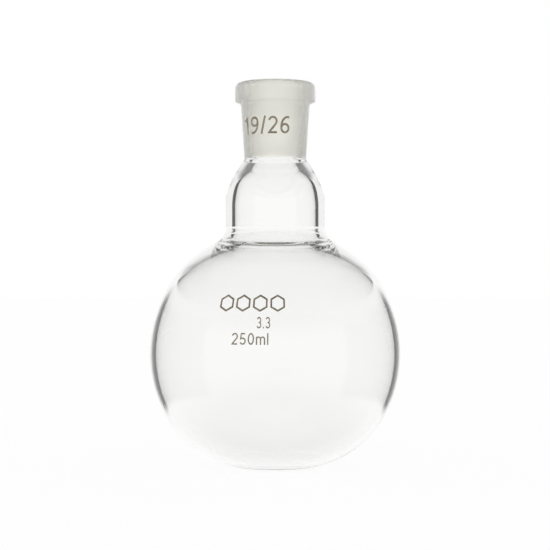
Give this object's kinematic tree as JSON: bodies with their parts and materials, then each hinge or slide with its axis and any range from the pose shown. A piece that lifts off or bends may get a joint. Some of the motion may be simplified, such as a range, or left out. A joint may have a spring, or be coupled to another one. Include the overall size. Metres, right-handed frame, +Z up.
{
  "type": "flat-bottom boiling flask",
  "caption": "Clear glass boiling flask with a near-round bulb on a pressed flat base, a narrowed neck and a ground-glass standard taper socket with a thick collar.",
  "frame": {"origin": "centre of the flat base, on the surface that the flask stands on", "axes": "+Z up along the flask's axis, from the base to the mouth of the socket; -Y is the side that the enamel marks face"},
  "size_m": [0.085, 0.085, 0.13],
  "materials": {
    "clear_glass": "clear borosilicate glass, fire-polished, with slight waves from blowing",
    "ground_glass": "borosilicate glass, finely ground on the tapered inner face and clear outside",
    "fired_enamel": "thin matt enamel fired into the glass, brown-grey"
  },
  "bodies": {
    "root": {"bulb": "clear_glass", "neck": "clear_glass", "seal_bead": "clear_glass", "ground_socket": "ground_glass", "joint_mark_1": "fired_enamel", "joint_mark_9": "fired_enamel", "joint_mark_slash": "fired_enamel", "joint_mark_2": "fired_enamel", "joint_mark_6": "fired_enamel", "emblem_cell_1": "fired_enamel", "emblem_cell_2": "fired_enamel", "emblem_cell_3": "fired_enamel", "emblem_cell_4": "fired_enamel", "grade_mark_3_left": "fired_enamel", "grade_mark_point": "fired_enamel", "grade_mark_3_right": "fired_enamel", "capacity_mark_2": "fired_enamel", "capacity_mark_5": "fired_enamel", "capacity_mark_0": "fired_enamel", "capacity_mark_m": "fired_enamel", "capacity_mark_l": "fired_enamel"}
  },
  "joints": []
}
